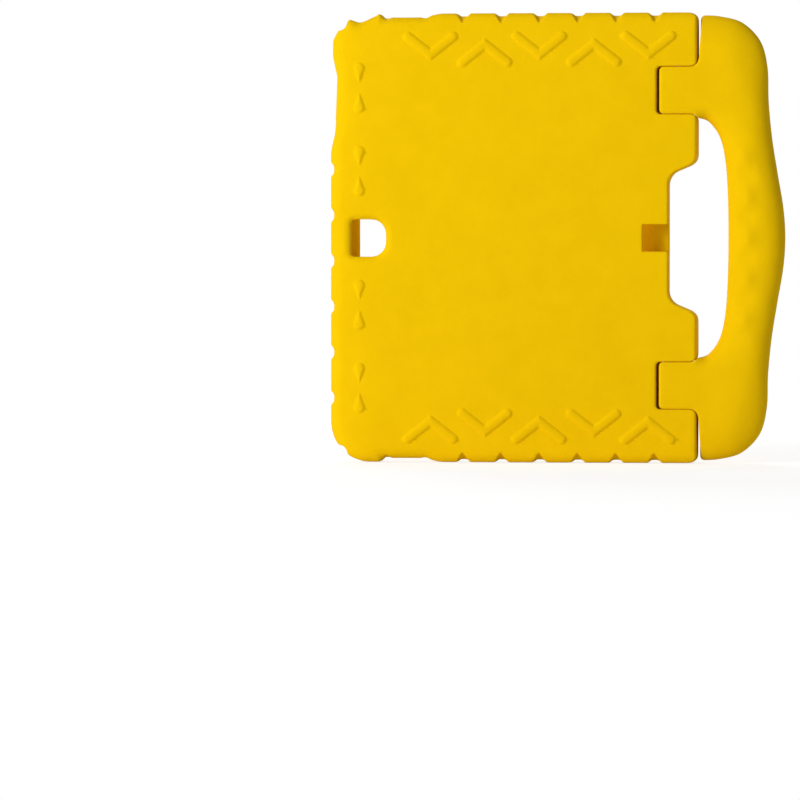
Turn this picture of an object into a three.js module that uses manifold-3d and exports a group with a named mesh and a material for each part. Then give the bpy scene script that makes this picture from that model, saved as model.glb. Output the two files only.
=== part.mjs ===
// Shockproof foam case for a ten inch tablet, with a carry handle that folds back as a stand.
// Sizes are in millimetres. The finished case stands upright on its lower edge, +Z up, with its open
// front facing -Y and its handle at -X. The origin is the middle of its base.
//
// Outlines are drawn as seen from behind: x runs from the plain edge to the handle, y runs up from the
// lower edge and z runs from the middle of the thickness to the rear. The last group turns that upright.

import * as THREE from 'three';
import { ConvexGeometry } from 'three/addons/geometries/ConvexGeometry.js';
import { mergeVertices } from 'three/addons/utils/BufferGeometryUtils.js';
import Module from 'manifold-3d';

const wasm = await Module();
wasm.setup();

// The tablet that the case is made for, upright, and the room left on each side of it
const tablet = { width: 176.4, height: 243.4, thickness: 8 };
const tabletRoom = 0.4;

// Walls of the shell round that pocket
const wall = { farSide: 7.3, ends: 7.4, handleSide: 10.9, slot: 4.1, back: 8, lip: 5 };
const shellEdge = { cornerRadius: 23.5, rounding: 5, earRadius: 6, smallRounding: 1.4 };

// Hinge: the pin stands behind the middle of the thickness, so the handle folds to the rear only
const hinge = {
  setBack: 6,
  tongueReach: 11.1,
  shoulderReach: 12,
  gap: 0.4,
  turnGap: 0.7,
  endGap: 1.15,
  sideGap: 0.6,
  pinRadius: 2.5,
  pinClearance: 0.35,
  pinDepth: 12,
};
const ear = { cornerHeight: 31.2, innerHeight: 27.4, slantRise: 7.3, slotCorner: 4.6, innerCorner: 9 };
const tongue = { height: 26.1, slotEndCorner: 2.4, endCorner: 3.2, rounding: 1.2, inset: 0.2 };

// Front window with a bay for the button beside the screen, and its sloping rim
const windowLap = { farSide: 8.5, ends: 7.1, handleSide: 9.8 };
const windowRim = { cornerRadius: 7.5, slopeWidth: 3.4, slopeDepth: 3 };
const buttonBay = { depth: 4.9, halfLength: 35.5, slant: 12.5, cornerRadius: 6 };

// Openings in the rear panel
const cameraHole = { x: 12, width: 20.5, height: 21.5, edgeCorner: 2.5, innerCorner: 8.5 };
const cameraRim = { slopeWidth: 2.7, slopeDepth: 2.4 };
const portNotch = { height: 15.5, lap: 3.8 };

// Raised ribs and drops on the rear panel
const chevron = { count: 5, firstX: 58.6, pitch: 31.4, reach: 13.1, width: 5.5, angle: 38, relief: 1.1 };
const chevronRow = { outerInset: 24, innerInset: 18.3 };
const drop = { x: 17.3, radius: 3.15, length: 11.8, relief: 1, tipGap: 5.3 };
const dropPairs = [86.5, 38.5];
const reliefRounding = 0.9;

// Grooves in the outer edges. Those that lie in a hollow of the edge are deeper, with a front tail only.
const groove = { bottomHalf: 2.25, depth: 1.9, rearTail: 6.5, frontTail: 3.2, rearStart: 6, frontStart: 4 };
const sunkGroove = { bottomHalf: 1.6, depth: 2.9, frontTail: 4.8 };
const endGrooves = { count: 8, firstX: 33.1, pitch: 22.1, sunk: 2 };
const farGrooves = { count: 8, pitch: 26.4, sunk: 2 };

// Hollows in the outer edges, as [along, inward, radius] corners: one in each end, from the plain edge,
// and two beside the tablet's buttons, down the plain edge from the upper one and along the upper edge
const endHollow = [[28.9, 0, 0], [31.2, 2.4, 1.5], [55.5, 2.4, 8], [63.4, 0, 0]];
const buttonHollow = [[17, 1.2, 0], [25, 1.2, 4], [36.5, 3.8, 8], [69, 2.5, 8], [79, 0, 0]];
const cornerHollow = [[11.9, 3.6, 0], [17.2, 5.6, 5], [26.8, 1.4, 1], [28.3, 0, 0]];

// Handle: size of its opening and its reach, past the shoulder face, and how far its ends stay short
const handle = { openingDepth: 16.5, openingLap: 2.2, reach: 49.6, endInset: 1.3 };

// Points on the handle's inner and outer outline, from the shoulder to the middle of the grip, as
// shares of the depth or reach above and of the half height on that side
const handleSections = [
  { inner: [0, 1], outer: [0, 1] },
  { inner: [0.23, 0.983], outer: [0.236, 0.994] },
  { inner: [0.436, 0.939], outer: [0.5, 0.964] },
  { inner: [0.618, 0.878], outer: [0.71, 0.88] },
  { inner: [0.752, 0.805], outer: [0.792, 0.761] },
  { inner: [0.855, 0.698], outer: [0.804, 0.612] },
  { inner: [0.927, 0.56], outer: [0.845, 0.447] },
  { inner: [0.97, 0.392], outer: [0.911, 0.286] },
  { inner: [0.994, 0.196], outer: [0.976, 0.137] },
  { inner: [1, 0], outer: [1, 0] },
];
const shoulderTaper = { gap: 2, corner: 3 };
const grip = { halfThickness: 12.2, fullAt: 0.28, shoulderPower: 8, gripPower: 2.5 };
const fingers = { pitch: 23.5, height: 0.7, reach: 62, across: -0.5, spread: 0.4 };
const handleSteps = { around: 20, between: 4 };

// Sizes that follow from the ones above
const pocket = {
  x0: wall.farSide,
  x1: wall.farSide + tablet.width + 2 * tabletRoom,
  y0: wall.ends,
  y1: wall.ends + tablet.height + 2 * tabletRoom,
  depth: tablet.thickness + tabletRoom,
};
const height = pocket.y1 + wall.ends;
const middleY = height / 2;
const half = (wall.lip + pocket.depth + wall.back) / 2;
const pocketFront = -half + wall.lip;
const pocketRear = half - wall.back;
const slotX = pocket.x1 + wall.slot;
const recessX = pocket.x1 + wall.handleSide;
const axisX = slotX + hinge.endGap + hinge.tongueReach;
const shoulderX = axisX + hinge.shoulderReach;
const earX = shoulderX - hinge.gap;
const slotY = { low: ear.cornerHeight, high: ear.cornerHeight + tongue.height + 2 * hinge.sideGap };
const tongueY = { low: slotY.low + hinge.sideGap, high: slotY.high - hinge.sideGap };
const boreRadius = hinge.pinRadius + hinge.pinClearance;
const openingHalf = middleY - slotY.high - handle.openingLap;
const handleHalf = middleY - handle.endInset;
const overallLength = shoulderX + handle.reach;
const past = 5;

// Solids and joins

function solid(geometry) {
  const bare = geometry.clone();
  bare.deleteAttribute('normal');
  bare.deleteAttribute('uv');
  const merged = mergeVertices(bare, 1e-4);
  const vertProperties = new Float32Array(merged.attributes.position.array);
  const triVerts = new Uint32Array(merged.index.array);
  return new wasm.Manifold(new wasm.Mesh({ numProp: 3, vertProperties, triVerts }));
}

function toGeometry(manifold) {
  const { vertProperties, triVerts } = manifold.getMesh();
  const geometry = new THREE.BufferGeometry();
  geometry.setAttribute('position', new THREE.BufferAttribute(vertProperties, 3));
  geometry.setIndex(new THREE.BufferAttribute(triVerts, 1));
  geometry.computeVertexNormals();
  return geometry;
}

const joinAll = (solids) => solids.reduce((sum, next) => sum.add(next));
const cutAll = (body, cutters) => cutters.reduce((rest, cutter) => rest.subtract(cutter), body);

// Outline through [x, y, radius] corners, each rounded by an arc of its radius
function roundedShape(corners) {
  const shape = new THREE.Shape();
  const count = corners.length;
  corners.forEach(([x, y, radius], i) => {
    const corner = new THREE.Vector2(x, y);
    const toward = ([px, py]) => new THREE.Vector2(px, py).sub(corner).normalize();
    const before = toward(corners[(i + count - 1) % count]);
    const after = toward(corners[(i + 1) % count]);
    const opening = Math.acos(THREE.MathUtils.clamp(before.dot(after), -1, 1)) / 2;
    const run = radius / Math.tan(opening);
    const start = corner.clone().addScaledVector(before, run);
    if (i === 0) shape.moveTo(start.x, start.y);
    else shape.lineTo(start.x, start.y);
    if (radius === 0) return;
    const bisector = before.clone().add(after).normalize();
    const centre = corner.clone().addScaledVector(bisector, radius / Math.sin(opening));
    const end = corner.clone().addScaledVector(after, run);
    const angle = (p) => Math.atan2(p.y - centre.y, p.x - centre.x);
    shape.absarc(centre.x, centre.y, radius, angle(start), angle(end), before.cross(after) > 0);
  });
  shape.closePath();
  return shape;
}

const rectangle = (x0, y0, x1, y1, radius = 0) => roundedShape([
  [x0, y0, radius],
  [x1, y0, radius],
  [x1, y1, radius],
  [x0, y1, radius],
]);

// Plate of an outline between two depths, with its edges rounded inside that outline
function plate(shape, z0, z1, rounding = 0, steps = 2, curveSegments = 3) {
  const geometry = new THREE.ExtrudeGeometry(shape, {
    depth: z1 - z0 - 2 * rounding,
    bevelEnabled: rounding > 0,
    bevelThickness: rounding,
    bevelSize: rounding,
    bevelOffset: -rounding,
    bevelSegments: steps,
    curveSegments,
  });
  return solid(geometry.translate(0, 0, z0 + rounding));
}

// Cutter that opens out by slopeWidth over slopeDepth as it reaches the surface at z, on the side given
function slopedMouth(shape, z, side, { slopeWidth, slopeDepth }) {
  const geometry = new THREE.ExtrudeGeometry(shape, {
    depth: past,
    bevelThickness: slopeDepth,
    bevelSize: slopeWidth,
    bevelSegments: 1,
    curveSegments: 3,
  });
  const depth = side > 0 ? z : z - past;
  return solid(geometry.translate(0, 0, depth));
}

// Bar along y with a section drawn in x and z
function barAlongY(shape, y0, y1) {
  const options = { depth: y1 - y0, bevelEnabled: false, curveSegments: 8 };
  const geometry = new THREE.ExtrudeGeometry(shape, options);
  return solid(geometry.rotateX(Math.PI / 2).translate(0, y1, 0));
}

function pinShape(radius, y0, y1) {
  const geometry = new THREE.CylinderGeometry(radius, radius, y1 - y0, 24);
  return geometry.translate(axisX, (y0 + y1) / 2, hinge.setBack);
}

const mirrored = ([low, high]) => [height - high, height - low];

// Shell

// Half of the handle-side edge, from the lower corner to the middle of the height
function handleEdgeCorners() {
  const innerEarEnd = slotY.high + ear.innerHeight;
  return [
    [earX, 0, shellEdge.earRadius],
    [earX, slotY.low, ear.slotCorner],
    [slotX, slotY.low, tongue.slotEndCorner],
    [slotX, slotY.high, tongue.slotEndCorner],
    [earX, slotY.high, ear.slotCorner],
    [earX, innerEarEnd, ear.innerCorner],
    [recessX, innerEarEnd + ear.slantRise, 2 * ear.slotCorner],
  ];
}

function shellOutline() {
  const lower = handleEdgeCorners();
  const upper = lower.map(([x, y, radius]) => [x, height - y, radius]).reverse();
  const far = shellEdge.cornerRadius;
  return roundedShape([[0, height, far], [0, 0, far], ...lower, ...upper]);
}

function shellBlock() {
  const outline = roundedShape([
    [0, 0, shellEdge.cornerRadius],
    [earX, 0, shellEdge.earRadius],
    [earX, height, shellEdge.earRadius],
    [0, height, shellEdge.cornerRadius],
  ]);
  const block = plate(outline, -half, half, shellEdge.rounding, 4);
  return block.intersect(plate(shellOutline(), -half, half, shellEdge.smallRounding));
}

// The rear of each ear is round about the hinge, so the shoulder of the handle turns past it
function earRounding() {
  const radius = hinge.shoulderReach - hinge.turnGap;
  const corner = new THREE.Shape();
  corner.moveTo(axisX + radius, hinge.setBack);
  corner.lineTo(axisX + radius + past, hinge.setBack);
  corner.lineTo(axisX + radius + past, hinge.setBack + radius);
  corner.lineTo(axisX, hinge.setBack + radius);
  corner.absarc(axisX, hinge.setBack, radius, Math.PI / 2, 0, true);
  return barAlongY(corner, -past, height + past);
}

function windowOutline() {
  const x0 = pocket.x0 + windowLap.farSide;
  const x1 = pocket.x1 - windowLap.handleSide;
  const y0 = pocket.y0 + windowLap.ends;
  const y1 = pocket.y1 - windowLap.ends;
  const corner = windowRim.cornerRadius;
  const bay = buttonBay;
  return roundedShape([
    [x0, y0, corner],
    [x1, y0, corner],
    [x1, middleY - bay.halfLength - bay.slant, bay.cornerRadius],
    [x1 + bay.depth, middleY - bay.halfLength, bay.cornerRadius],
    [x1 + bay.depth, middleY + bay.halfLength, bay.cornerRadius],
    [x1, middleY + bay.halfLength + bay.slant, bay.cornerRadius],
    [x1, y1, corner],
    [x0, y1, corner],
  ]);
}

function cameraOutline() {
  const x1 = cameraHole.x + cameraHole.width;
  const y0 = middleY - cameraHole.height / 2;
  const y1 = middleY + cameraHole.height / 2;
  return roundedShape([
    [cameraHole.x, y0, cameraHole.edgeCorner],
    [x1, y0, cameraHole.innerCorner],
    [x1, y1, cameraHole.innerCorner],
    [cameraHole.x, y1, cameraHole.edgeCorner],
  ]);
}

function shellOpenings() {
  const portShape = rectangle(
    pocket.x1 - portNotch.lap,
    middleY - portNotch.height / 2,
    recessX + past,
    middleY + portNotch.height / 2,
  );
  const pocketShape = rectangle(pocket.x0, pocket.y0, pocket.x1, pocket.y1, windowRim.cornerRadius);
  return [
    plate(pocketShape, pocketFront, pocketRear),
    plate(windowOutline(), -half - past, pocketFront + past),
    slopedMouth(windowOutline(), -half, -1, windowRim),
    plate(cameraOutline(), pocketRear - past, half + past),
    slopedMouth(cameraOutline(), half, 1, cameraRim),
    plate(portShape, pocketFront, half + past),
  ];
}

// One groove in an outer edge. edge gives the place at a run along that edge, a way inward and a z, and
// each tail narrows to a point as it deepens toward the rear or the front.
function edgeCut(edge, run, { bottomHalf, depth, rearTail = 0, frontTail = 0 }) {
  const mouthHalf = bottomHalf + depth + past;
  const level = (z, bottom) => [
    edge(run - mouthHalf, -past, z),
    edge(run + mouthHalf, -past, z),
    ...bottom.map(([side, inward]) => edge(run + side, inward, z)),
  ];
  const floor = [[-bottomHalf, depth], [bottomHalf, depth]];
  const hull = (points) => solid(new ConvexGeometry(points));
  const cuts = [hull([...level(-half - 1, floor), ...level(half + 1, floor)])];
  const tail = (start, end, length) => hull([...level(start, floor), ...level(end, [[0, length]])]);
  if (rearTail > 0) cuts.push(tail(half - groove.rearStart, half + 0.1, rearTail));
  if (frontTail > 0) cuts.push(tail(-half + groove.frontStart, -half - 0.1, frontTail));
  return joinAll(cuts);
}

const topEdge = (run, inward, z) => new THREE.Vector3(run, height - inward, z);
const lowerEdge = (run, inward, z) => new THREE.Vector3(run, inward, z);
const farEdge = (run, inward, z) => new THREE.Vector3(inward, run, z);
const farEdgeDown = (run, inward, z) => farEdge(height - run, inward, z);

// The diagonal across a far corner, as an edge whose run is zero at the corner's middle
function cornerEdge(side) {
  const radius = shellEdge.cornerRadius;
  const centreY = side > 0 ? height - radius : radius;
  return (run, inward, z) => {
    const out = radius - inward;
    return new THREE.Vector3(
      radius - (out - run) * Math.SQRT1_2,
      centreY + side * (out + run) * Math.SQRT1_2,
      z,
    );
  };
}

// One hollow along an outer edge, through the whole thickness
function hollowCut(edge, corners) {
  const start = corners[0][0];
  const end = corners[corners.length - 1][0];
  const outline = [[start, -past, 0], ...corners, [end, -past, 0]].map(([along, inward, radius]) => {
    const place = edge(along, inward, 0);
    return [place.x, place.y, radius];
  });
  return plate(roundedShape(outline), -half - past, half + past);
}

function edgeCuts() {
  const cuts = [edgeCut(cornerEdge(1), 0, groove), edgeCut(cornerEdge(-1), 0, groove)];
  for (let i = 0; i < endGrooves.count; i += 1) {
    const x = endGrooves.firstX + i * endGrooves.pitch;
    const shape = i < endGrooves.sunk ? sunkGroove : groove;
    cuts.push(edgeCut(topEdge, x, shape), edgeCut(lowerEdge, x, shape));
  }
  for (let i = 0; i < farGrooves.count; i += 1) {
    const y = middleY + (i - (farGrooves.count - 1) / 2) * farGrooves.pitch;
    cuts.push(edgeCut(farEdge, y, i < farGrooves.count - farGrooves.sunk ? groove : sunkGroove));
  }
  cuts.push(hollowCut(topEdge, endHollow), hollowCut(lowerEdge, endHollow));
  cuts.push(hollowCut(topEdge, cornerHollow), hollowCut(farEdgeDown, buttonHollow));
  return cuts;
}

// Outline raised over the rear face at a place, upright when up is 1 and turned over when it is -1
function raised(shape, relief, x, y, up) {
  const geometry = new THREE.ExtrudeGeometry(shape, {
    depth: relief,
    bevelThickness: reliefRounding,
    bevelSize: reliefRounding,
    bevelOffset: -reliefRounding,
    bevelSegments: 2,
    curveSegments: 4,
  });
  if (up < 0) geometry.rotateZ(Math.PI);
  return solid(geometry.translate(x, y, half - reliefRounding));
}

// Rib shaped like a V, with its arms up when up is 1 and down when it is -1
function chevronRib(x, y, up) {
  const angle = THREE.MathUtils.degToRad(chevron.angle);
  const halfWidth = chevron.width / 2;
  const tip = halfWidth / Math.cos(angle);
  const endY = chevron.reach * Math.tan(angle);
  const shape = new THREE.Shape();
  shape.absarc(chevron.reach, endY, halfWidth, angle - Math.PI / 2, angle + Math.PI / 2, false);
  shape.lineTo(0, tip);
  shape.absarc(-chevron.reach, endY, halfWidth, Math.PI / 2 - angle, 1.5 * Math.PI - angle, false);
  shape.lineTo(0, -tip);
  shape.closePath();
  return raised(shape, chevron.relief, x, y, up);
}

// Raised drop with its round end up when up is 1 and down when it is -1, placed by its tip
function raisedDrop(y, up) {
  const reach = drop.length - drop.radius;
  const half90 = Math.PI / 2;
  const side = Math.acos(drop.radius / reach);
  const shape = new THREE.Shape();
  shape.absarc(0, reach, drop.radius, side - half90, 3 * half90 - side, false);
  shape.lineTo(0, 0);
  shape.closePath();
  return raised(shape, drop.relief, drop.x, y, up);
}

function reliefs() {
  const ribs = [];
  for (let i = 0; i < chevron.count; i += 1) {
    const x = chevron.firstX + i * chevron.pitch;
    const opensOut = i % 2 === 0;
    const inset = opensOut ? chevronRow.outerInset : chevronRow.innerInset;
    ribs.push(chevronRib(x, height - inset, opensOut ? 1 : -1));
    ribs.push(chevronRib(x, inset, opensOut ? -1 : 1));
  }
  dropPairs.forEach((distance) => {
    [-1, 1].forEach((side) => {
      const y = middleY + side * distance;
      ribs.push(raisedDrop(y + drop.tipGap / 2, 1), raisedDrop(y - drop.tipGap / 2, -1));
    });
  });
  return ribs;
}

// Blind bores for the hinge pins, each across one slot and into the ears on both sides of it
const pinSpans = [
  [slotY.low - hinge.pinDepth, slotY.high + hinge.pinDepth],
  mirrored([slotY.low - hinge.pinDepth, slotY.high + hinge.pinDepth]),
];

function caseBody() {
  const clearance = hinge.pinClearance;
  const bores = pinSpans.map(([y0, y1]) => solid(pinShape(boreRadius, y0 - clearance, y1 + clearance)));
  const shell = cutAll(shellBlock(), [earRounding(), ...shellOpenings(), ...edgeCuts(), ...bores]);
  return joinAll([shell, ...reliefs()]);
}

// Handle

function handleCurves() {
  const whole = (key, reach, halfHeight) => {
    const point = ([x, y], side) => (
      new THREE.Vector2(shoulderX + x * reach, middleY + side * y * halfHeight)
    );
    const upper = handleSections.map((section) => point(section[key], 1));
    const lower = handleSections.slice(0, -1).map((section) => point(section[key], -1));
    return new THREE.SplineCurve([...upper, ...lower.reverse()]);
  };
  return {
    inner: whole('inner', handle.openingDepth, openingHalf),
    outer: whole('outer', handle.reach, handleHalf),
  };
}

function fingerSwell(y, across) {
  const distance = y - middleY;
  if (Math.abs(distance) > fingers.reach) return 0;
  const wave = Math.cos((2 * Math.PI * distance) / fingers.pitch);
  const fade = 1 - (distance / fingers.reach) ** 4;
  const side = Math.exp(-(((across - fingers.across) / fingers.spread) ** 2));
  return fingers.height * wave * fade * side;
}

// The grip is a closed cylinder bent so that each of its rings becomes one section of the handle
function gripSolid() {
  const { inner, outer } = handleCurves();
  const rings = (inner.points.length - 1) * handleSteps.between;
  const geometry = new THREE.CylinderGeometry(1, 1, 1, handleSteps.around, rings);
  const position = geometry.attributes.position;
  const place = new THREE.Vector3();
  for (let i = 0; i < position.count; i += 1) {
    place.fromBufferAttribute(position, i);
    const t = THREE.MathUtils.clamp(0.5 - place.y, 0, 1);
    const innerPoint = inner.getPoint(t);
    const outerPoint = outer.getPoint(t);
    const blend = THREE.MathUtils.smoothstep(Math.min(t, 1 - t), 0, grip.fullAt);
    const power = 2 / THREE.MathUtils.lerp(grip.shoulderPower, grip.gripPower, blend);
    const curve = (value) => Math.sign(value) * (Math.round(Math.abs(value) * 1e6) / 1e6) ** power;
    const across = curve(place.x);
    const centre = innerPoint.clone().add(outerPoint).multiplyScalar(0.5);
    const spot = centre.addScaledVector(outerPoint.sub(innerPoint), across / 2);
    const thick = THREE.MathUtils.lerp(half, grip.halfThickness, blend) + fingerSwell(spot.y, across);
    position.setXYZ(i, spot.x, spot.y, curve(place.z) * thick);
  }
  return solid(geometry);
}

// Tongue with the two hollow corners that follow the corners of the ears beside it
function tonguePlan() {
  const cornerX = earX - ear.slotCorner;
  const lowY = tongueY.low;
  const highY = tongueY.high;
  const end = axisX - hinge.tongueReach;
  const root = shoulderX + 3 * tongue.rounding;
  const follow = ear.slotCorner + hinge.sideGap;
  const reach = shoulderX - cornerX;
  const corner = tongue.endCorner;
  const innerEnd = middleY - openingHalf;
  const innerAngle = Math.asin((slotY.high + ear.slotCorner - innerEnd) / follow);
  const shape = new THREE.Shape();
  shape.moveTo(end + corner, lowY);
  shape.absellipse(cornerX, lowY - follow, reach, follow, Math.PI / 2, 0, true, 0);
  shape.lineTo(root, lowY - follow);
  shape.lineTo(root, innerEnd);
  shape.absellipse(cornerX, highY + follow, reach, follow, -innerAngle, -Math.PI / 2, true, 0);
  shape.lineTo(end + corner, highY);
  shape.absarc(end + corner, highY - corner, corner, Math.PI / 2, Math.PI, false);
  shape.absarc(end + corner, lowY + corner, corner, Math.PI, 1.5 * Math.PI, false);
  shape.closePath();
  return shape;
}

// Side view of a tongue: a flat end in front of the hinge, and round about the hinge behind it
function tongueSection() {
  const reach = hinge.tongueReach;
  const shape = new THREE.Shape();
  shape.moveTo(axisX - reach, -half);
  shape.lineTo(shoulderX + past, -half);
  shape.lineTo(shoulderX + past, hinge.setBack + reach);
  shape.lineTo(axisX, hinge.setBack + reach);
  shape.absarc(axisX, hinge.setBack, reach, Math.PI / 2, Math.PI, false);
  shape.closePath();
  return shape;
}

// Wedge off each end of the shoulder, so that the gap beside the ear opens toward the end
function shoulderWedge() {
  const start = tongueY.low - ear.slotCorner - hinge.sideGap;
  const end = handle.endInset;
  const outline = roundedShape([
    [shoulderX - past, start, 0],
    [shoulderX, start, 0],
    [shoulderX + shoulderTaper.gap, end, shoulderTaper.corner],
    [shoulderX + 2 * past, end, 0],
    [shoulderX + 2 * past, -past, 0],
    [shoulderX - past, -past, 0],
  ]);
  return plate(outline, -half - past, half + past);
}

function handleBody() {
  const depth = half - tongue.inset;
  const plan = plate(tonguePlan(), -depth, depth, tongue.rounding);
  const lower = plan.intersect(barAlongY(tongueSection(), 0, middleY));
  const upper = lower.mirror([0, 1, 0]).translate([0, height, 0]);
  const bores = pinSpans.map(([y0, y1]) => solid(pinShape(boreRadius, y0, y1)));
  const wedge = shoulderWedge();
  const wedges = [wedge, wedge.mirror([0, 1, 0]).translate([0, height, 0])];
  return cutAll(joinAll([gripSolid(), lower, upper]), [...bores, ...wedges]);
}

// Meshes

const foam = { color: 0xedc004, roughness: 0.75, metalness: 0 };
const steel = { color: 0xb4b6b8, roughness: 0.35, metalness: 1 };

function part(name, geometry, look) {
  const mesh = new THREE.Mesh(geometry, new THREE.MeshStandardMaterial(look));
  mesh.name = name;
  return mesh;
}

const tabletCase = new THREE.Group();
tabletCase.rotation.set(Math.PI / 2, 0, Math.PI, 'ZYX');
tabletCase.position.set(overallLength / 2, 0, 0);
tabletCase.add(part('case_body', toGeometry(caseBody()), foam));
tabletCase.add(part('handle', toGeometry(handleBody()), foam));
tabletCase.add(part('hinge_pin_lower', pinShape(hinge.pinRadius, ...pinSpans[0]), steel));
tabletCase.add(part('hinge_pin_upper', pinShape(hinge.pinRadius, ...pinSpans[1]), steel));

export default tabletCase;
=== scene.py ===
# Looks of a shockproof foam tablet case with a folding carry handle.
# Shapes are worked out in millimetres on a drawing seen from behind: u runs from the plain edge to the
# handle, v runs up and w runs from the middle of the thickness to the rear. Each moulding is a distance
# field on a grid, turned into one mesh, so that every edge and hollow has the soft radius of foam.

import math

import bpy
import numpy as np
import openvdb
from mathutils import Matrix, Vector


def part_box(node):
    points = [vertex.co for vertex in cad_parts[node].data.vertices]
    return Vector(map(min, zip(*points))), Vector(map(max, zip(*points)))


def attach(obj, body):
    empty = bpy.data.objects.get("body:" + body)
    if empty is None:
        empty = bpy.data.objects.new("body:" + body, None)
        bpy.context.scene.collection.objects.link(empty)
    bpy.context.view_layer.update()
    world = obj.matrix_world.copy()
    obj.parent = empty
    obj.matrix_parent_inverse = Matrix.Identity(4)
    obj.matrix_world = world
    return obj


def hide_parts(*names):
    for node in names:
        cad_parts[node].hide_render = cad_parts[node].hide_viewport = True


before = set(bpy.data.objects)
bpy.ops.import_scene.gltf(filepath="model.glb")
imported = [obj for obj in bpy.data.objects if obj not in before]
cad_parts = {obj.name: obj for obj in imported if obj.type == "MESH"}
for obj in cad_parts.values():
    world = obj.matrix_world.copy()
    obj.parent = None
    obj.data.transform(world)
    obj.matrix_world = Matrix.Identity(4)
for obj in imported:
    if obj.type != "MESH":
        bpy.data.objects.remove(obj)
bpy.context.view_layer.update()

MM = 0.001

# The frame's own sizes, on the drawing
CASE_LOW, CASE_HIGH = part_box("case_body")
HANDLE_LOW, HANDLE_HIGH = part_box("handle")
PIN_LOW, PIN_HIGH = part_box("hinge_pin_lower")
FAR_X = CASE_HIGH.x
HEIGHT = (CASE_HIGH.z - CASE_LOW.z) / MM
MIDDLE = HEIGHT / 2
HALF = -CASE_LOW.y / MM
RELIEF = CASE_HIGH.y / MM - HALF
EAR_U = (CASE_HIGH.x - CASE_LOW.x) / MM
LENGTH = (FAR_X - HANDLE_LOW.x) / MM
GRIP_HALF = HANDLE_HIGH.y / MM
AXIS_U = (FAR_X - (PIN_LOW.x + PIN_HIGH.x) / 2) / MM
AXIS_W = (PIN_LOW.y + PIN_HIGH.y) / 2 / MM

# Shell
POCKET = {"u0": 7.3, "u1": 184.5, "v0": 7.4, "front": -5.7, "rear": 2.7, "corner": 7.5}
SLOT_U = POCKET["u1"] + 4.1
RECESS_U = POCKET["u1"] + 10.9
CORNER_RADIUS = 23.5
EAR = {"height": 31.2, "slot": 27.3, "inner": 27.4, "slant": 7.3, "radius": 6.0}
EAR_INNER_CORNER = 9.0
HINGE_REAR = {"slot_u": SLOT_U, "slot_corner": 2.4, "ear_u": EAR_U, "ear_corner": 4.6}
# In the front half the slots are a little deeper and the ears a little longer, so the gaps don't show light
HINGE_FRONT = {"slot_u": SLOT_U + 0.8, "slot_corner": 3.6, "ear_u": EAR_U + 0.35, "ear_corner": 5.2}
HINGE_FRONT_TO = -1.0
SHOULDER_U = EAR_U + 0.4
TURN_GAP = 0.7

# Edge roundings: wide and shallow round the outside, tighter in the slots
REAR_ROUND = {"across": 8.0, "deep": 5.0}
FRONT_ROUND = {"across": 6.0, "deep": 5.0}
EAR_ROUND = 1.3
FAR_CAMBER = {"reach": 24.0, "drop": 2.6}

WINDOW = {"far": 8.5, "ends": 7.1, "handle": 9.8, "corner": 7.5, "slope": 3.4, "deep": 3.0}
BAY = {"deep": 4.9, "half": 35.5, "slant": 12.5, "corner": 6.0}
CAMERA_HOLE = {"u0": 12.0, "u1": 32.5, "half": 10.75, "edge": 2.5, "inner": 8.5, "slope": 2.7, "deep": 2.4}
PORT = {"half": 7.75, "lap": 3.8, "corner": 0.8}

CHEVRON = {
    "count": 5, "first": 58.6, "pitch": 31.4, "reach": 13.1, "half": 2.75, "angle": math.radians(38),
}
CHEVRON_INSETS = (24.0, 18.3)
DROP = {"u": 17.3, "radius": 3.15, "length": 11.8, "gap": 5.3}
DROP_PAIRS = (86.5, 38.5)
RELIEF_FLANK = 2.4
RELIEF_POWER = 0.6
RELIEF_REACH = 20
GROOVE_REACH = 12

# Grooves in the outer edges, and hollows as (along, inward, radius) corners
GROOVE = {"half": 2.25, "depth": 1.9, "rear": 6.5, "rear_run": 6.0, "front": 3.2, "front_run": 4.0}
SUNK_GROOVE = {"half": 1.6, "depth": 2.9, "rear": 2.9, "rear_run": 6.0, "front": 4.8, "front_run": 4.0}
END_SUNK_GROOVE = SUNK_GROOVE | {"rear": 5.2}
CORNER_GROOVE = GROOVE | {"rear": 2.6}
END_GROOVES = {"count": 8, "first": 33.1, "pitch": 22.1, "sunk": 2}
END_GROOVE_SHAPES = (END_SUNK_GROOVE, SUNK_GROOVE)
FAR_GROOVES = {"count": 8, "pitch": 26.4, "sunk": 2}
END_HOLLOW = ((28.9, 0, 0), (31.2, 2.4, 1.5), (55.5, 2.4, 8), (63.4, 0, 0))
BUTTON_HOLLOW = ((17, 1.2, 0), (25, 1.2, 4), (36.5, 3.8, 8), (69, 2.5, 8), (79, 0, 0))
CORNER_HOLLOW = ((11.9, 3.6, 0), (17.2, 5.6, 5), (26.8, 1.4, 1), (28.3, 0, 0))

# Handle: its tongues, the wedge off each shoulder, and its inner and outer outline as shares of a
# reach past the shoulder and of a half height
TONGUE = {"reach": 11.1, "side_gap": 0.12, "follow": 5.2, "corner": 3.2}
WEDGE = {"gap": 1.7, "front_gap": 0.8, "inset": 1.3, "corner": 3.0}
GRIP_INNER = {"reach": 16.5, "half": MIDDLE - EAR["height"] - EAR["slot"] - 2.2}
GRIP_OUTER = {"reach": LENGTH - SHOULDER_U, "half": MIDDLE - WEDGE["inset"]}
INNER_SHARES = (
    (0, 1), (0.23, 0.983), (0.436, 0.939), (0.618, 0.878), (0.752, 0.805),
    (0.855, 0.698), (0.927, 0.56), (0.97, 0.392), (0.994, 0.196), (1, 0),
)
OUTER_SHARES = (
    (0, 1), (0.236, 0.994), (0.5, 0.964), (0.71, 0.88), (0.792, 0.761),
    (0.804, 0.612), (0.845, 0.447), (0.911, 0.286), (0.976, 0.137), (1, 0),
)
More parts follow.
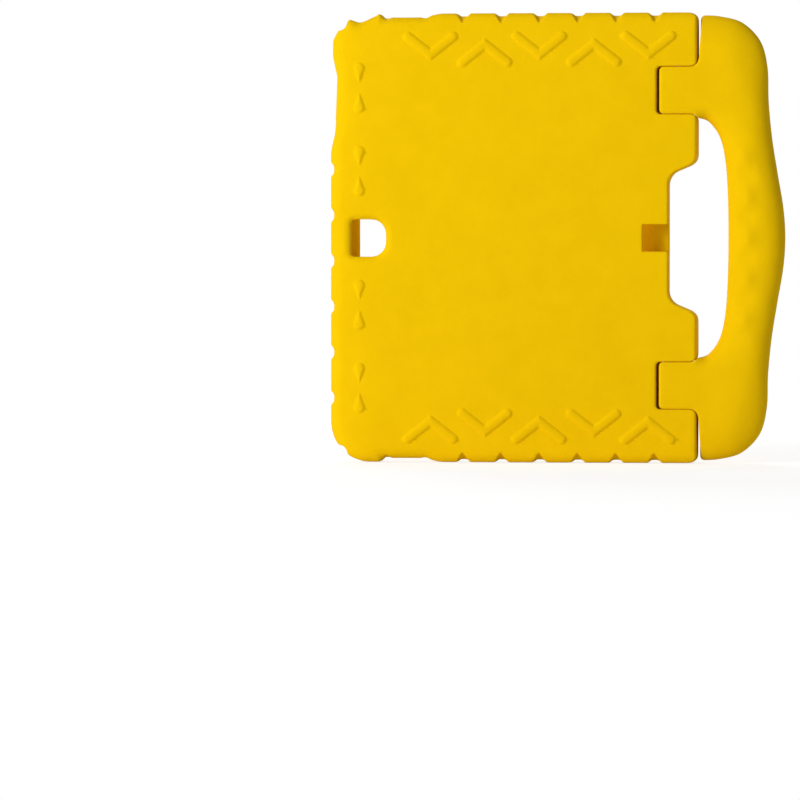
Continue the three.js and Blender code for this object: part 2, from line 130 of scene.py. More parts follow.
FINGERS = {"pitch": 23.5, "height": 1.3, "reach": 66.0, "inside": 11.0, "spread": 5.0}

# The handle thickens and rounds off from the shoulder towards the grip. Each rounding is the width it
# takes at the shoulder and how much more it takes at the grip.
GRIP = {"full_at": 24, "share": 0.8, "fade": 30, "below_top": 0.4}
OUTER_ROUND = {"shoulder": 24, "more": -7}
INNER_ROUND = {"shoulder": 8, "more": 10}
PILLOW = {"power": 2, "grip_power": 0.6, "thick_power": 2.2, "depth": 11}
INNER_FADE = {"from": EAR_U - 4, "to": EAR_U + 6}
WEDGE_FRONT_TO = -2.0

# How far the inside corners between shapes are rounded
BLEND = {
    "groove": 0.6, "wedge": 0.6, "pocket": 0.8, "ears": 0.8, "groove_bottom": 0.8, "pillow": 0.8,
    "hollow": 1.0, "port": 1.0, "turned": 1.2, "camera": 1.4, "window": 1.6,
}

VOXEL = 0.45
SHELL_FLATNESS = 0.05
HANDLE_FLATNESS = 0.005
OUTSIDE = 5
ARC_STEP = math.radians(6)


# Outlines on the drawing

def rounded(corners):
    """Points of an outline through (u, v, radius) corners, each rounded by an arc."""
    points = []
    count = len(corners)
    for i, (u, v, radius) in enumerate(corners):
        here = np.array((u, v), float)
        before = np.array(corners[i - 1][:2], float) - here
        after = np.array(corners[(i + 1) % count][:2], float) - here
        before /= np.linalg.norm(before)
        after /= np.linalg.norm(after)
        opening = math.acos(max(-1.0, min(1.0, float(before @ after)))) / 2
        if radius == 0 or opening > math.pi / 2 - 1e-3:
            points.append(here)
            continue
        run = radius / math.tan(opening)
        bisector = before + after
        centre = here + bisector / np.linalg.norm(bisector) * radius / math.sin(opening)
        start = here + before * run - centre
        end = here + after * run - centre
        first = math.atan2(start[1], start[0])
        turn = math.remainder(math.atan2(end[1], end[0]) - first, 2 * math.pi)
        steps = max(2, int(abs(turn) / ARC_STEP))
        for k in range(steps + 1):
            angle = first + turn * k / steps
            points.append(centre + radius * np.array((math.cos(angle), math.sin(angle))))
    return np.array(points)


def box_outline(u0, v0, u1, v1, radius):
    return rounded([(u0, v0, radius), (u1, v0, radius), (u1, v1, radius), (u0, v1, radius)])


def spline(points, steps=8):
    """Points along a smooth curve through the given ones."""
    given = np.array(points, float)
    ends = np.vstack([2 * given[0] - given[1], given, 2 * given[-1] - given[-2]])
    found = []
    for i in range(len(given) - 1):
        a, b, c, d = ends[i:i + 4]
        for k in range(steps):
            t = k / steps
            bend = (2 * a - 5 * b + 4 * c - d) * t ** 2 + (3 * b - a - 3 * c + d) * t ** 3
            found.append(0.5 * (2 * b + (c - a) * t + bend))
    found.append(given[-1])
    return np.array(found)


def upper_edge(along, inward):
    return along, HEIGHT - inward


def lower_edge(along, inward):
    return along, inward


def far_edge_down(along, inward):
    return inward, HEIGHT - along


def hollow_outline(edge, corners):
    """Closed outline of a hollow in an edge, from (along, inward, radius) corners."""
    outline = [(corners[0][0], -OUTSIDE, 0), *corners, (corners[-1][0], -OUTSIDE, 0)]
    return rounded([(*edge(along, inward), radius) for along, inward, radius in outline])


# Distance fields

class Grid:
    """Sample points of a box on the drawing, with u along the first axis, v the second and w the third."""

    def __init__(self, low, high, step=VOXEL):
        self.step = step
        self.low = np.array(low, float)
        counts = np.ceil((np.array(high, float) - self.low) / step).astype(int) + 1
        u, v, w = (self.low[i] + step * np.arange(counts[i]) for i in range(3))
        self.u = u.astype(np.float32)[:, None]
        self.v = v.astype(np.float32)[None, :]
        self.w = w.astype(np.float32)[None, None, :]

    def around(self, place, reach):
        """Slices of u and v that cover a square about a place."""
        first = np.floor((np.array(place) - reach - self.low[:2]) / self.step).astype(int).clip(0)
        last = np.ceil((np.array(place) + reach - self.low[:2]) / self.step).astype(int).clip(0) + 1
        return slice(first[0], last[0]), slice(first[1], last[1])


def distance(outline, grid):
    """Signed distance to a closed outline at each u and v, negative inside."""
    u, v = grid.u, grid.v
    nearest = np.full((u.shape[0], v.shape[1]), 1e9, np.float32)
    inside = np.zeros(nearest.shape, bool)
    for (au, av), (bu, bv) in zip(outline, np.roll(outline, -1, axis=0)):
        eu, ev = np.float32(bu - au), np.float32(bv - av)
        size = eu * eu + ev * ev
        if size < 1e-10:
            continue
        wu, wv = u - np.float32(au), v - np.float32(av)
        t = np.clip((wu * eu + wv * ev) / size, 0, 1)
        nearest = np.minimum(nearest, (wu - eu * t) ** 2 + (wv - ev * t) ** 2)
        spans = (v >= av) != (v >= bv)
        inside ^= spans & ((wu * ev < wv * eu) == (bv > av))
    return np.where(inside, -1, 1) * np.sqrt(nearest)


def smooth_max(a, b, k):
    """The larger of two fields, with the corner between them rounded over k."""
    blend = np.clip(k - np.abs(a - b), 0, None) / np.float32(k)
    return np.maximum(a, b) + blend * blend * np.float32(k / 4)


def rounded_slab(flat, thick, across, deep):
    """Outline and thickness distances joined by an edge rounded over a width and a depth."""
    a = np.clip(flat / across + 1, 0, None)
    b = np.clip(thick / deep + 1, 0, None)
    edge = (np.sqrt(a * a + b * b) - 1) * np.float32((across + deep) / 2)
    return np.where((a > 0) & (b > 0), edge, np.maximum(flat, thick))


def ease(value, low, high):
    t = np.clip((value - low) / (high - low), 0, 1)
    return t * t * (3 - 2 * t)


def sample(field, places):
    """Value of a field between its grid points, at places counted in steps."""
    first = np.clip(np.floor(places).astype(int), 0, np.array(field.shape) - 2)
    share = places - first
    total = 0
    for corner in np.ndindex(2, 2, 2):
        weight = np.prod(np.where(corner, share, 1 - share), axis=1)
        total = total + weight * field[tuple((first + corner).T)]
    return total


def surface_normals(field, places):
    slopes = []
    for axis in np.eye(3):
        slopes.append(sample(field, places + axis) - sample(field, places - axis))
    u, v, w = slopes
    normals = np.stack([-u, w, v], axis=1)
    return normals / np.linalg.norm(normals, axis=1, keepdims=True)


def mesh_from(field, grid, name, flatness):
    """Meshes the zero level of a field in the frame, in metres, with the field's own normals."""
    band = np.float32(3 * grid.step)
    volume = openvdb.FloatGrid(float(band))
    volume.copyFromArray(np.clip(field, -band, band))
    places, triangles, quads = volume.convertToPolygons(0.0, flatness)
    u, v, w = (grid.low + places.astype(float) * grid.step).T
    placed = np.stack([FAR_X - u * MM, w * MM, v * MM], axis=1)
    loops = np.concatenate([triangles.ravel(), quads.ravel()]).astype(np.int32)
    sizes = np.repeat((3, 4), (len(triangles), len(quads)))
    mesh = bpy.data.meshes.new(name)
    mesh.vertices.add(len(placed))
    mesh.vertices.foreach_set("co", placed.astype(np.float32).ravel())
    mesh.loops.add(len(loops))
    mesh.loops.foreach_set("vertex_index", loops)
    mesh.polygons.add(len(sizes))
    mesh.polygons.foreach_set("loop_start", (np.cumsum(sizes) - sizes).astype(np.int32))
    mesh.polygons.foreach_set("use_smooth", np.ones(len(sizes), bool))
    mesh.update(calc_edges=True)
    mesh.normals_split_custom_set_from_vertices(surface_normals(field, places.astype(float)))
    piece = bpy.data.objects.new(name, mesh)
    bpy.context.scene.collection.objects.link(piece)
    return piece


# Shell

def block_field(grid):
    """Distance to the shell's outer outline, which runs on past its side with the hinge."""
    field = distance(rounded([
        (0, 0, CORNER_RADIUS),
        (LENGTH, 0, 0),
        (LENGTH, HEIGHT, 0),
        (0, HEIGHT, CORNER_RADIUS),
    ]), grid)
    hollows = (
        (upper_edge, END_HOLLOW),
        (lower_edge, END_HOLLOW),
        (upper_edge, CORNER_HOLLOW),
        (far_edge_down, BUTTON_HOLLOW),
    )
    for edge, corners in hollows:
        field = smooth_max(field, -distance(hollow_outline(edge, corners), grid), BLEND["hollow"])
    return field


def hinge_side_outline(slot_u, slot_corner, ear_u, ear_corner):
    """Outline of the shell's ears, slots and recess, on a block with square far corners."""
    slot_top = EAR["height"] + EAR["slot"]
    ear_end = slot_top + EAR["inner"]
    lower = [
        (ear_u, 0, EAR["radius"]),
        (ear_u, EAR["height"], ear_corner),
        (slot_u, EAR["height"], slot_corner),
        (slot_u, slot_top, slot_corner),
        (ear_u, slot_top, ear_corner),
        (ear_u, ear_end, EAR_INNER_CORNER),
        (RECESS_U, ear_end + EAR["slant"], EAR_INNER_CORNER),
    ]
    upper = [(u, HEIGHT - v, radius) for u, v, radius in reversed(lower)]
    return rounded([(-OUTSIDE, HEIGHT, 0), (-OUTSIDE, 0, 0), *lower, *upper])


def window_outline():
    u0 = POCKET["u0"] + WINDOW["far"]
    u1 = POCKET["u1"] - WINDOW["handle"]
    v0 = POCKET["v0"] + WINDOW["ends"]
    bay_u = u1 + BAY["deep"]
    bay_v = MIDDLE - BAY["half"]
    return rounded([
        (u0, v0, WINDOW["corner"]),
        (u1, v0, WINDOW["corner"]),
        (u1, bay_v - BAY["slant"], BAY["corner"]),
        (bay_u, bay_v, BAY["corner"]),
        (bay_u, HEIGHT - bay_v, BAY["corner"]),
        (u1, HEIGHT - bay_v + BAY["slant"], BAY["corner"]),
        (u1, HEIGHT - v0, WINDOW["corner"]),
        (u0, HEIGHT - v0, WINDOW["corner"]),
    ])


def camera_outline():
    low, high = MIDDLE - CAMERA_HOLE["half"], MIDDLE + CAMERA_HOLE["half"]
    return rounded([
        (CAMERA_HOLE["u0"], low, CAMERA_HOLE["edge"]),
        (CAMERA_HOLE["u1"], low, CAMERA_HOLE["inner"]),
        (CAMERA_HOLE["u1"], high, CAMERA_HOLE["inner"]),
        (CAMERA_HOLE["u0"], high, CAMERA_HOLE["edge"]),
    ])


def chevron_depth(across, along):
    """How far inside one V rib each point lies."""
    cos, sin = math.cos(CHEVRON["angle"]), math.sin(CHEVRON["angle"])
    run = across * cos + along * sin
    side = along * cos - across * sin
    beyond = np.clip(run - CHEVRON["reach"] / cos, 0, None)
    return CHEVRON["half"] - np.sqrt(side * side + beyond * beyond)


def drop_depth(across, along):
    """How far inside one raised drop each point lies, with the drop's tip at zero."""
    reach = DROP["length"] - DROP["radius"]
    side = math.acos(DROP["radius"] / reach)
    flank = across * math.sin(side) - along * math.cos(side)
    head = np.sqrt(across ** 2 + (along - reach) ** 2) - DROP["radius"]
    return -np.where(along > reach - DROP["radius"] * math.cos(side), head, np.maximum(flank, -along))


def relief_map(grid):
    """Height of the ribs and drops over the rear face at each u and v."""
    relief = np.zeros((grid.u.shape[0], grid.v.shape[1]), np.float32)

    def add(depth, place, up):
        part = grid.around(place, RELIEF_REACH)
        across = np.abs(grid.u[part[0]] - place[0])
        along = (grid.v[:, part[1]] - place[1]) * up
        below_top = 1 - np.clip(depth(across, along) / RELIEF_FLANK, 0, 1)
        relief[part] = np.maximum(relief[part], (1 - below_top ** 2) ** RELIEF_POWER)

    for i in range(CHEVRON["count"]):
        u = CHEVRON["first"] + i * CHEVRON["pitch"]
        inset = CHEVRON_INSETS[i % 2]
        up = 1 if i % 2 == 0 else -1
        add(chevron_depth, (u, HEIGHT - inset), up)
        add(chevron_depth, (u, inset), -up)
    for middle in (MIDDLE + side * height for height in DROP_PAIRS for side in (-1, 1)):
        add(drop_depth, (DROP["u"], middle + DROP["gap"] / 2), 1)
        add(drop_depth, (DROP["u"], middle - DROP["gap"] / 2), -1)
    return RELIEF * relief


def cut_groove(field, grid, place, inward, groove):
    """Cuts one groove in an outer edge. place is its middle on the edge, and inward is a unit vector."""
    part = grid.around(place, GROOVE_REACH)
    u = grid.u[part[0]] - place[0]
    v = grid.v[:, part[1]] - place[1]
    deep = (u * inward[0] + v * inward[1])[:, :, None]
    run = np.abs(u * inward[1] - v * inward[0])[:, :, None]
    rear = np.clip((grid.w - HALF) / groove["rear_run"] + 1, 0, 1.1)
    front = np.clip((-grid.w - HALF) / groove["front_run"] + 1, 0, 1.1)
    depth = groove["depth"] + rear * (groove["rear"] - groove["depth"])
    depth = depth + front * (groove["front"] - groove["depth"])
    bottom = groove["half"] * (1 - np.clip(np.maximum(rear, front), 0, 1))
    slope = (groove["half"] + groove["depth"] - bottom) / depth
    flank = (run - bottom - (depth - deep) * slope) / np.sqrt(1 + slope * slope)
    cut = smooth_max(deep - depth, flank, BLEND["groove_bottom"])
    field[part] = smooth_max(field[part], -cut, BLEND["groove"])


def cut_grooves(field, grid):
    for i in range(END_GROOVES["count"]):
        u = END_GROOVES["first"] + i * END_GROOVES["pitch"]
        groove = END_GROOVE_SHAPES[i] if i < END_GROOVES["sunk"] else GROOVE
        cut_groove(field, grid, (u, HEIGHT), (0, -1), groove)
        cut_groove(field, grid, (u, 0), (0, 1), groove)
    for i in range(FAR_GROOVES["count"]):
        v = MIDDLE + (i - (FAR_GROOVES["count"] - 1) / 2) * FAR_GROOVES["pitch"]
        groove = GROOVE if i < FAR_GROOVES["count"] - FAR_GROOVES["sunk"] else SUNK_GROOVE
        cut_groove(field, grid, (0, v), (1, 0), groove)
    diagonal = math.sqrt(0.5)
    inset = CORNER_RADIUS * (1 - diagonal)
    cut_groove(field, grid, (inset, inset), (diagonal, diagonal), CORNER_GROOVE)
    cut_groove(field, grid, (inset, HEIGHT - inset), (diagonal, -diagonal), CORNER_GROOVE)


def shell_field(grid):
    w = grid.w
    camber = FAR_CAMBER["drop"] * np.clip(1 - grid.u / FAR_CAMBER["reach"], 0, 1) ** 2
    rear = w - HALF + (camber - relief_map(grid))[:, :, None]
    front = -HALF - w
    block = block_field(grid)[:, :, None]
    rear_side = distance(hinge_side_outline(**HINGE_REAR), grid)[:, :, None]
    front_side = distance(hinge_side_outline(**HINGE_FRONT), grid)[:, :, None]
    hinge_side = front_side + (rear_side - front_side) * ease(w, HINGE_FRONT_TO, AXIS_W)
    field = rounded_slab(block, rear, **REAR_ROUND)
    field = np.maximum(field, rounded_slab(block, front, **FRONT_ROUND))
    ears = rounded_slab(hinge_side, np.maximum(rear, front), EAR_ROUND, EAR_ROUND)
    field = smooth_max(field, ears, BLEND["ears"])
    outward = np.clip(grid.u - AXIS_U, 0, None)[:, :, None]
    turned = np.sqrt(outward ** 2 + np.clip(w - AXIS_W, 0, None) ** 2)
    field = smooth_max(field, turned - np.float32(SHOULDER_U - TURN_GAP - AXIS_U), BLEND["turned"])
    low, high = POCKET["v0"], HEIGHT - POCKET["v0"]
    pocket_outline = box_outline(POCKET["u0"], low, POCKET["u1"], high, POCKET["corner"])
    pocket = distance(pocket_outline, grid)[:, :, None]
    pocket = np.maximum(pocket, np.maximum(w - POCKET["rear"], POCKET["front"] - w))
    field = smooth_max(field, -pocket, BLEND["pocket"])
    mouth = WINDOW["slope"] * np.clip((-w - HALF) / WINDOW["deep"] + 1, 0, 2)
    window = distance(window_outline(), grid)[:, :, None] - mouth
    field = smooth_max(field, -np.maximum(window, w - POCKET["rear"]), BLEND["window"])
    mouth = CAMERA_HOLE["slope"] * np.clip((w - HALF) / CAMERA_HOLE["deep"] + 1, 0, 2)
    camera = distance(camera_outline(), grid)[:, :, None] - mouth
    field = smooth_max(field, -np.maximum(camera, POCKET["front"] - w), BLEND["camera"])
    port = distance(box_outline(
        POCKET["u1"] - PORT["lap"], MIDDLE - PORT["half"],
        RECESS_U + OUTSIDE, MIDDLE + PORT["half"], PORT["corner"],
    ), grid)[:, :, None]
    field = smooth_max(field, -np.maximum(port, POCKET["front"] - w), BLEND["port"])
    cut_grooves(field, grid)
    return field


def make_shell():
    margin = 2 * VOXEL
    low = (-margin, -margin, -HALF - margin)
    high = (HINGE_FRONT["ear_u"] + margin, HEIGHT + margin, HALF + RELIEF + margin)
    grid = Grid(low, high)
    return mesh_from(shell_field(grid), grid, "case_foam", SHELL_FLATNESS)


# Handle

def grip_curve(shares, size):
    """Smooth curve from the upper shoulder, round the grip, to the lower shoulder."""
    upper = [(SHOULDER_U + size["reach"] * x, MIDDLE + size["half"] * y) for x, y in shares]
    return spline(upper + [(u, HEIGHT - v) for u, v in reversed(upper[:-1])])


def hollow_corner(side_v, outward):
    """Points of the hollow corner that follows an ear, from a tongue's side to the shoulder."""
    corner_u = EAR_U - HINGE_REAR["ear_corner"]
    angles = np.linspace(0, math.pi / 2, 16)
    u = corner_u + (SHOULDER_U - corner_u) * np.sin(angles)
    return np.stack([u, side_v + outward * TONGUE["follow"] * (1 - np.cos(angles))], axis=1)


def handle_outline():
    """Whole outline of the handle: tongues, opening and outside."""
    inner = grip_curve(INNER_SHARES, GRIP_INNER)
    outer = grip_curve(OUTER_SHARES, GRIP_OUTER)
    low = EAR["height"] + TONGUE["side_gap"]
    high = EAR["height"] + EAR["slot"] - TONGUE["side_gap"]
    end = AXIS_U - TONGUE["reach"]
    far_side = rounded([
        (AXIS_U, low, 0), (end, low, TONGUE["corner"]), (end, high, TONGUE["corner"]), (AXIS_U, high, 0),
    ])
    toward_opening = hollow_corner(high, 1)
    toward_opening = toward_opening[toward_opening[:, 1] < inner[-1, 1]]
    lower = np.vstack([hollow_corner(low, -1)[::-1], far_side, toward_opening])
    upper = lower[::-1] * (1, -1) + (0, HEIGHT)
    return np.vstack([lower, inner[::-1], upper, outer])


def shoulder_wedge(gap, turn):
    """Outline of the wedge off one end of the shoulder, at the lower end or turned over to the upper."""
    start = EAR["height"] + TONGUE["side_gap"] - TONGUE["follow"]
    corners = [
        (SHOULDER_U - OUTSIDE, start, 0),
        (SHOULDER_U, start, 0),
        (SHOULDER_U + gap, WEDGE["inset"], WEDGE["corner"]),
        (SHOULDER_U + 3 * OUTSIDE, WEDGE["inset"], 0),
        (SHOULDER_U + 3 * OUTSIDE, -OUTSIDE, 0),
        (SHOULDER_U - OUTSIDE, -OUTSIDE, 0),
    ]
    return rounded([(u, HEIGHT - v if turn else v, radius) for u, v, radius in corners])


def closed_toward_case(curve, past_ends):
    """Outline of everything on the case's side of a grip curve."""
    first = curve[0] + (-2 * past_ends, 0)
    last = curve[-1] + (-2 * past_ends, 0)
    return np.vstack([(SLOT_U - 40, first[1]), first, curve, last, (SLOT_U - 40, last[1])])


def handle_field(grid):
    w = grid.w
    from_middle = np.abs(grid.v - MIDDLE)
    whole = distance(handle_outline(), grid)
    rear_side, front_side = whole, whole
    for turn in (False, True):
        rear_wedge = distance(shoulder_wedge(WEDGE["gap"], turn), grid)
        front_wedge = distance(shoulder_wedge(WEDGE["front_gap"], turn), grid)
        rear_side = smooth_max(rear_side, -rear_wedge, BLEND["wedge"])
        front_side = smooth_max(front_side, -front_wedge, BLEND["wedge"])
    rear_side, front_side = rear_side[:, :, None], front_side[:, :, None]
    outline = front_side + (rear_side - front_side) * ease(w, WEDGE_FRONT_TO, AXIS_W)
    from_outside = -distance(closed_toward_case(grip_curve(OUTER_SHARES, GRIP_OUTER), 10), grid)
    from_inside = distance(closed_toward_case(grip_curve(INNER_SHARES, GRIP_INNER), 10), grid)
    past_shoulder = ease(grid.u, SHOULDER_U, SHOULDER_U + GRIP["full_at"])
    grip = past_shoulder * ease(GRIP["share"] * MIDDLE - from_middle, 0, GRIP["fade"])
    swell = np.cos(2 * math.pi * from_middle / FINGERS["pitch"])
    swell = swell * np.clip(1 - (from_middle / FINGERS["reach"]) ** 4, 0, 1)
    swell = swell * np.exp(-((from_inside - FINGERS["inside"]) / FINGERS["spread"]) ** 2)
    thick = HALF + (GRIP_HALF - GRIP["below_top"] - HALF) * past_shoulder
    thick = (thick + FINGERS["height"] * swell)[:, :, None]
    outer_round = OUTER_ROUND["shoulder"] + OUTER_ROUND["more"] * grip
    inner_round = INNER_ROUND["shoulder"] + INNER_ROUND["more"] * grip
    a = np.clip(1 - from_outside / outer_round, 0, None) ** (PILLOW["power"] + PILLOW["grip_power"] * grip)
    b = np.clip(1 - from_inside / inner_round, 0, None) ** PILLOW["power"]
    b = b * ease(grid.u, INNER_FADE["from"], INNER_FADE["to"])
    c = np.abs(w) / thick
    pillow = np.sqrt((a + b)[:, :, None] + c ** PILLOW["thick_power"]) - 1
    pillow = pillow * np.float32(PILLOW["depth"])
    slab = rounded_slab(outline, np.abs(w) - thick, EAR_ROUND, EAR_ROUND)
    field = smooth_max(pillow, slab, BLEND["pillow"])
    inward = np.clip(AXIS_U - grid.u, 0, None)[:, :, None]
    turned = np.sqrt(inward ** 2 + np.clip(w - AXIS_W, 0, None) ** 2)
    return smooth_max(field, turned - np.float32(TONGUE["reach"]), BLEND["turned"])


def make_handle():
    margin = 2 * VOXEL
    low = (AXIS_U - TONGUE["reach"] - margin, -margin, -GRIP_HALF - margin)
    high = (LENGTH + margin, HEIGHT + margin, GRIP_HALF + margin)
    grid = Grid(low, high)
    return mesh_from(handle_field(grid), grid, "handle_foam", HANDLE_FLATNESS)


# Materials

class Nodes:
    """Short forms for building a material's node tree."""

    def __init__(self, name):
        self.material = bpy.data.materials.new(name)
        self.material.use_nodes = True
        self.tree = self.material.node_tree
        self.tree.nodes.clear()
        self.output = self.tree.nodes.new("ShaderNodeOutputMaterial")

    def add(self, kind, inputs=None, **settings):
        node = self.tree.nodes.new(kind)
        for key, value in settings.items():
            setattr(node, key, value)
        for key, value in (inputs or {}).items():
            if isinstance(value, bpy.types.NodeSocket):
                self.tree.links.new(value, node.inputs[key])
            else:
                node.inputs[key].default_value = value
        return node

    def surface(self, socket):
        self.tree.links.new(socket, self.output.inputs["Surface"])
        return self.material


def foam_material():
    n = Nodes("yellow_foam")
    place = n.add("ShaderNodeTexCoord").outputs["Object"]
    cloud = n.add("ShaderNodeTexNoise", {"Vector": place, "Scale": 60.0, "Detail": 4.0, "Roughness": 0.6})
    grain = n.add("ShaderNodeTexNoise", {"Vector": place, "Scale": 1100.0, "Detail": 2.0, "Roughness": 0.6})
    dents = n.add("ShaderNodeTexNoise", {"Vector": place, "Scale": 170.0, "Detail": 2.0})
    tone = n.add("ShaderNodeValToRGB", {"Fac": cloud.outputs["Fac"]})
    ramp = tone.color_ramp
    ramp.elements[0].position = 0.3
    ramp.elements[0].color = (0.85, 0.525, 0.0008, 1)
    ramp.elements[1].position = 0.7
    ramp.elements[1].color = (0.89, 0.555, 0.0012, 1)
    soft = n.add("ShaderNodeBump", {"Height": dents.outputs["Fac"], "Strength": 0.2, "Distance": 0.0006})
    fine = n.add("ShaderNodeBump", {
        "Height": grain.outputs["Fac"],
        "Normal": soft.outputs["Normal"],
        "Strength": 0.22,
        "Distance": 0.0003,
    })
    rough = n.add("ShaderNodeMapRange", {"Value": grain.outputs["Fac"], "To Min": 0.8, "To Max": 0.92})
    shader = n.add("ShaderNodeBsdfPrincipled", {
        "Base Color": tone.outputs["Color"],
        "Roughness": rough.outputs["Result"],
        "Specular IOR Level": 0.15,
        "Specular Tint": (1.0, 0.8, 0.12, 1.0),
        "Normal": fine.outputs["Normal"],
    })
    return n.surface(shader.outputs["BSDF"])


def steel_material():
    n = Nodes("pin_steel")
    place = n.add("ShaderNodeTexCoord").outputs["Object"]
    stretched = n.add("ShaderNodeMapping", {"Vector": place, "Scale": (900.0, 900.0, 40.0)})
    lines = n.add("ShaderNodeTexNoise", {"Vector": stretched.outputs["Vector"], "Scale": 1.0, "Detail": 2.0})
    rough = n.add("ShaderNodeMapRange", {"Value": lines.outputs["Fac"], "To Min": 0.55, "To Max": 0.75})
    bump = n.add("ShaderNodeBump", {"Height": lines.outputs["Fac"], "Strength": 0.1, "Distance": 0.0002})
    shader = n.add("ShaderNodeBsdfPrincipled", {
        "Base Color": (0.6, 0.6, 0.62, 1),
        "Metallic": 1.0,
        "Roughness": rough.outputs["Result"],
        "Normal": bump.outputs["Normal"],
    })
    return n.surface(shader.outputs["BSDF"])


# Stage

FLOOR = {"half": 6.0, "fade_from": 0.25, "fade_to": 0.8, "own_light": 0.6, "own_strength": 1.25, "matt": 0.9}
WORLD = {"lights": 0.29, "seen": 1.0}
KEY = {"azimuth": 140, "elevation": 16, "away": 3.0, "size": 1.2, "power": 64}
FRONT = {"azimuth": 20, "elevation": 30, "away": 2.0, "size": 1.4, "power": 22}


def floor_material():
    """Pale floor that keeps the object's shadow and turns plain white away from it."""
    n = Nodes("floor_white")
    place = n.add("ShaderNodeNewGeometry").outputs["Position"]
    reach = n.add("ShaderNodeVectorMath", {0: place}, operation="LENGTH").outputs["Value"]
    away = n.add("ShaderNodeMapRange", {
        "Value": reach, "From Min": FLOOR["fade_from"], "From Max": FLOOR["fade_to"],
    })
    rays = n.add("ShaderNodeLightPath").outputs
    seen = n.add(
        "ShaderNodeMath", {0: rays["Is Camera Ray"], 1: rays["Is Glossy Ray"]}, operation="MAXIMUM",
    )
    seen = n.add("ShaderNodeMath", {0: seen.outputs[0], 1: rays["Is Transmission Ray"]}, operation="MAXIMUM")
    amount = n.add("ShaderNodeMath", {0: seen.outputs[0], 1: away.outputs["Result"]}, operation="MULTIPLY")
    half_lit = n.add("ShaderNodeMath", {0: seen.outputs[0], 1: FLOOR["own_light"]}, operation="MULTIPLY")
    matt = n.add("ShaderNodeBsdfDiffuse", {"Color": (FLOOR["matt"], FLOOR["matt"], FLOOR["matt"], 1)})
    white = n.add("ShaderNodeEmission", {"Color": (1, 1, 1, 1), "Strength": 1.0})
    bright = n.add("ShaderNodeEmission", {"Color": (1, 1, 1, 1), "Strength": FLOOR["own_strength"]})
    near = n.add("ShaderNodeMixShader", {0: half_lit.outputs[0], 1: matt.outputs[0], 2: bright.outputs[0]})
    mixed = n.add("ShaderNodeMixShader", {0: amount.outputs[0], 1: near.outputs[0], 2: white.outputs[0]})
    return n.surface(mixed.outputs[0])


def make_floor():
    half = FLOOR["half"]
    mesh = bpy.data.meshes.new("floor")
    corners = [(-half, -half, 0), (half, -half, 0), (half, half, 0), (-half, half, 0)]
    mesh.from_pydata(corners, [], [(0, 1, 2, 3)])
    floor = bpy.data.objects.new("floor", mesh)
    bpy.context.scene.collection.objects.link(floor)
    mesh.materials.append(floor_material())


def make_world():
    """Soft room light, and plain white wherever the camera or a reflection looks past the object."""
    world = bpy.data.worlds.new("studio")
    bpy.context.scene.world = world
    world.use_nodes = True
    nodes, links = world.node_tree.nodes, world.node_tree.links
    nodes.clear()
    rays = nodes.new("ShaderNodeLightPath").outputs
    seen = rays["Is Camera Ray"]
    for other in ("Is Glossy Ray", "Is Transmission Ray"):
        either = nodes.new("ShaderNodeMath")
        either.operation = "MAXIMUM"
        links.new(seen, either.inputs[0])
        links.new(rays[other], either.inputs[1])
        seen = either.outputs[0]
    mixed = nodes.new("ShaderNodeMixShader")
    links.new(seen, mixed.inputs[0])
    for place, strength in ((1, WORLD["lights"]), (2, WORLD["seen"])):
        background = nodes.new("ShaderNodeBackground")
        background.inputs["Color"].default_value = (1, 1, 1, 1)
        background.inputs["Strength"].default_value = strength
        links.new(background.outputs[0], mixed.inputs[place])
    output = nodes.new("ShaderNodeOutputWorld")
    links.new(mixed.outputs[0], output.inputs["Surface"])


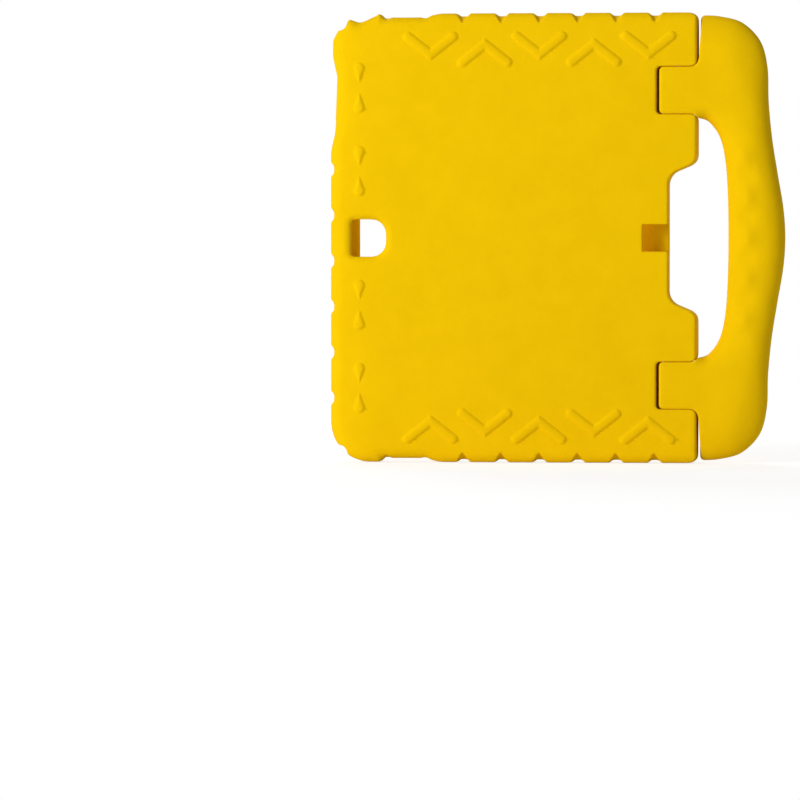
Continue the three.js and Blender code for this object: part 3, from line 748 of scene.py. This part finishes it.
def area_light(name, azimuth, elevation, away, size, power):
    """Round soft light that looks at the case's middle from a direction in degrees."""
    azimuth, elevation = math.radians(azimuth), math.radians(elevation)
    toward = Vector((
        math.sin(azimuth) * math.cos(elevation),
        -math.cos(azimuth) * math.cos(elevation),
        math.sin(elevation),
    ))
    lamp = bpy.data.lights.new(name, "AREA")
    lamp.shape = "DISK"
    lamp.size = size
    lamp.energy = power
    light = bpy.data.objects.new(name, lamp)
    bpy.context.scene.collection.objects.link(light)
    light.location = Vector((0, 0, MIDDLE * MM)) + toward * away
    light.rotation_euler = (-toward).to_track_quat("-Z", "Y").to_euler()


# Camera: a long lens behind the case, at its middle height and a little to the handle's side
IMAGE = 800
VIEW = {"azimuth": 184.5, "elevation": 0.0, "distance": 3.0}
MIDDLE_PX = (557.4, 238.1)
MM_PER_PX = 0.5775


def make_camera():
    azimuth, elevation = math.radians(VIEW["azimuth"]), math.radians(VIEW["elevation"])
    back = Vector((
        math.sin(azimuth) * math.cos(elevation),
        -math.cos(azimuth) * math.cos(elevation),
        math.sin(elevation),
    ))
    right = Vector((math.cos(azimuth), math.sin(azimuth), 0))
    up = back.cross(right)
    target = Vector((0, 0, MIDDLE * MM))
    scale = MM_PER_PX * MM
    aim = target - right * (MIDDLE_PX[0] - IMAGE / 2) * scale - up * (IMAGE / 2 - MIDDLE_PX[1]) * scale
    data = bpy.data.cameras.new("camera")
    camera = bpy.data.objects.new("camera", data)
    bpy.context.scene.collection.objects.link(camera)
    camera.location = target + back * VIEW["distance"]
    camera.rotation_euler = (aim - camera.location).to_track_quat("-Z", "Y").to_euler()
    data.sensor_width = 36
    data.lens = data.sensor_width * (aim - camera.location).length / (IMAGE * scale)
    data.clip_start = 0.01
    bpy.context.scene.camera = camera


foam = foam_material()
steel = steel_material()

shell = make_shell()
handle = make_handle()
for piece, body, node in ((shell, "case", "case_body"), (handle, "handle", "handle")):
    piece.data.materials.append(foam)
    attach(piece, body)
    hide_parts(node)
for name in ("hinge_pin_lower", "hinge_pin_upper"):
    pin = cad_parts[name]
    pin.data.materials.clear()
    pin.data.materials.append(steel)

make_floor()
make_world()
area_light("key", **KEY)
area_light("front", **FRONT)
make_camera()

bpy.context.scene.view_settings.view_transform = "Standard"
